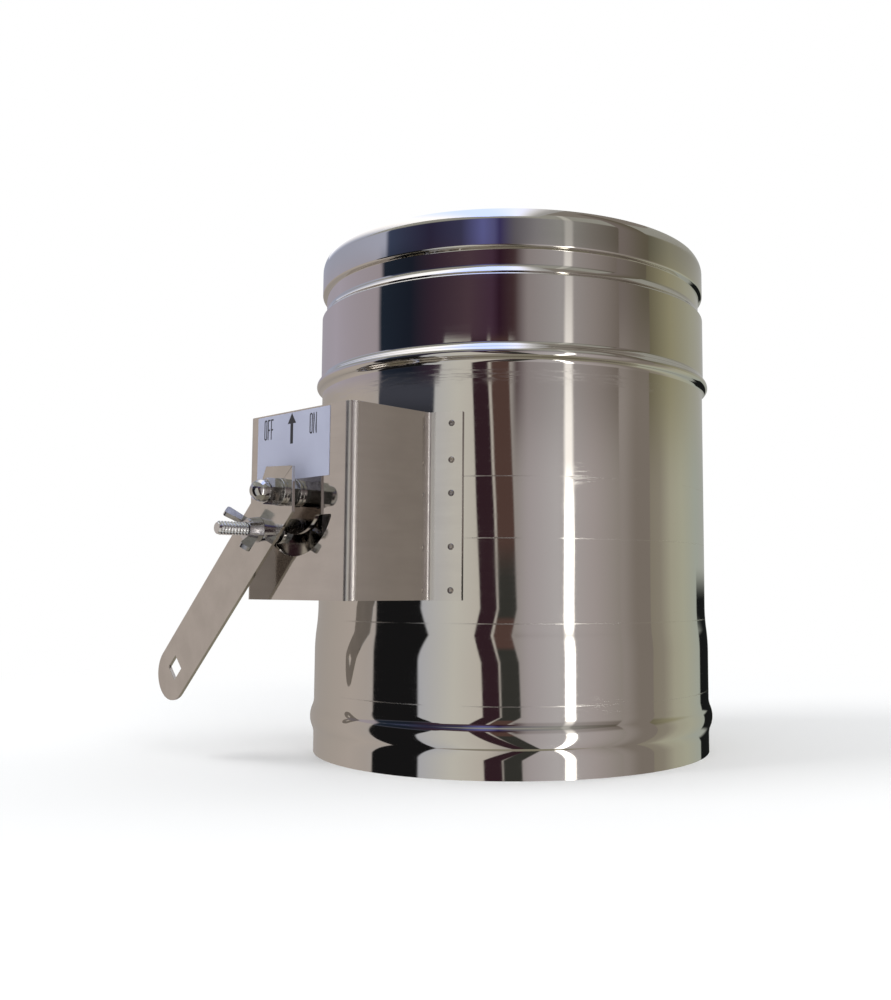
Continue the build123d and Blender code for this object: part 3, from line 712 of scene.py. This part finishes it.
# Blade. A flat stainless disc that turns with the spindle, held on the spindle's flat by two folded saddles
# and four domed rivets.
blade_finish = metal("blade sheet steel", (0.56, 0.545, 0.52), (0.46, 0.445, 0.42), 0.3, (300, 20, 20),
                     0.002, dents=0.04, metallic=0.55)
eased("blade", "blade_disc", blade_finish, 0.12)
for node in ("saddle_front", "saddle_rear"):
    eased(node, node + "_strap", blade_finish, 0.12)
eased("blade_rivets", "rivet_heads", turned_finish, 0.08)

# Washers and nuts. Zinc-plated M6 hardware: a washer and a nut behind the lever and a washer and an acorn
# nut in front of it on the spindle, two washers and a nut on the clamp bolt, and a washer and a turned
# spring ring behind the rear bush.
plate_finish = metal("zinc plate", (0.62, 0.61, 0.59), (0.42, 0.41, 0.40), 0.09, (420, 420, 420),
                     0.006, dents=0.05)
for node in ("face_washer", "lever_washer", "clamp_front_washer", "clamp_back_washer", "rear_washer"):
    eased(node, node + "_plated", plate_finish, 0.22, 3)
for node in ("lever_nut", "clamp_nut", "acorn_nut"):
    eased(node, node + "_plated", plate_finish, 0.14)
eased("retaining_ring", "spring_ring", turned_finish, 0.1)

# Lever. A blanked bar of stainless sheet, its head pointed and its tip round, with a square hole to hook a
# pull rod in. Its edges are tumbled.
lever_finish = metal("lever bar steel", (0.60, 0.57, 0.54), (0.53, 0.505, 0.475), 0.1, (70, 70, 70),
                     0.001, dents=0.05)
eased("lever", "lever_bar", lever_finish, 0.16)

# Clamp bolt. A zinc-plated M6 screw that comes through the slot and the lever from behind, its hexagon head
# and thread rolled from one blank. It slides along the slot with the lever.
lever_turn = radians(46.5)
lever_down = Vector((-sin(lever_turn), 0, -cos(lever_turn)))
lever_across = Vector((cos(lever_turn), 0, -sin(lever_turn)))
clamp_reach = 22.5
clamp_axis = Vector((0, 0, spindle_z)) + clamp_reach * lever_down
head_back, head_front, bolt_tip = -7.25, -3.25, 28.2
across_flats, chamfer_r, seat_chamfer = 10.0, 4.85, 0.15
thread_r, thread_depth, pitch = 2.98, 0.7, 1.5
crest_half, flank_run = 0.07, 0.36
runout_end, runout_length, tip_chamfer = -2.4, 1.2, 0.75


def on_clamp(radius, angle, s):
    """A point round the clamp bolt's axis, s in front of the bracket's face."""
    spoke = radius * (cos(angle) * lever_across - sin(angle) * lever_down)
    return (clamp_axis + spoke + Vector((0, -(face_y + s), 0))) * mm


def ring_faces(rows, around):
    """Faces between rings of points, and over the first and last ring."""
    faces = []
    for first in range(0, (rows - 1) * around, around):
        for a, b in [(first + i, first + (i + 1) % around) for i in range(around)]:
            faces.append((a, b, b + around, a + around))
    return faces + [tuple(range(around - 1, -1, -1)), tuple(range((rows - 1) * around, rows * around))]


def hex_radius(angle):
    return across_flats / 2 / cos((angle + pi / 6) % (pi / 3) - pi / 6)


head_around = 120
head_angles = [tau * i / head_around for i in range(head_around)]
head_rings = [[(r, head_back) for _ in head_angles] for r in (4.2, chamfer_r)]
head_radii = [hex_radius(a) for a in head_angles]
head_rings.append([(r, head_back + 0.1 + 0.6 * (r - chamfer_r)) for r in head_radii])
head_rings.append([(r, head_front - seat_chamfer) for r in head_radii])
head_rings.append([(r - seat_chamfer, head_front) for r in head_radii])
head_points = [on_clamp(r, a, s) for ring in head_rings for a, (r, s) in zip(head_angles, ring)]
head_mesh = mesh_of("bolt head", head_points, ring_faces(len(head_rings), head_around))

thread_around, rows_a_turn = 48, 16
thread_start, thread_end = head_front - 0.5, bolt_tip
thread_rows = int((thread_end - thread_start) / pitch * rows_a_turn) + 1
thread_points = []
for k in range(thread_rows):
    s = thread_start + (thread_end - thread_start) * k / (thread_rows - 1)
    for i in range(thread_around):
        phase = (s / pitch + i / thread_around) % 1
        flank = min(max((abs(phase - 0.5) - crest_half) / flank_run, 0), 1)
        runout = min(max((s - runout_end) / runout_length, 0), 1)
        chamfer = max(0, tip_chamfer - (thread_end - s))
        radius = thread_r - max(thread_depth * flank * runout, chamfer)
        thread_points.append(on_clamp(radius, tau * i / thread_around, s))
thread_mesh = mesh_of("bolt thread", thread_points, ring_faces(thread_rows, thread_around))
work = bmesh.new()
work.from_mesh(head_mesh)
work.from_mesh(thread_mesh)
bmesh.ops.recalc_face_normals(work, faces=work.faces)
bolt_mesh = bpy.data.meshes.new("clamp bolt")
work.to_mesh(bolt_mesh)
work.free()
bolt_mesh.shade_smooth()
bolt_mesh.set_sharp_from_angle(angle=radians(38))
bolt_finish = metal("plated screw", (0.72, 0.72, 0.73), (0.60, 0.60, 0.60), 0.12, (400, 400, 400), 0.002)
stand_for(new_piece("clamp_screw", bolt_mesh, bolt_finish), "clamp_bolt")

# Wing nut. A zinc die casting, so its ears and its hub are softly rounded all over. It is turned up by hand
# against the lever to lock it.
cast_finish = metal("cast zinc", (0.66, 0.66, 0.68), (0.44, 0.43, 0.44), 0.12, (420, 420, 420),
                    0.012, dents=0.1)
eased("wing_nut", "wing_nut_casting", cast_finish, 0.45, 4)
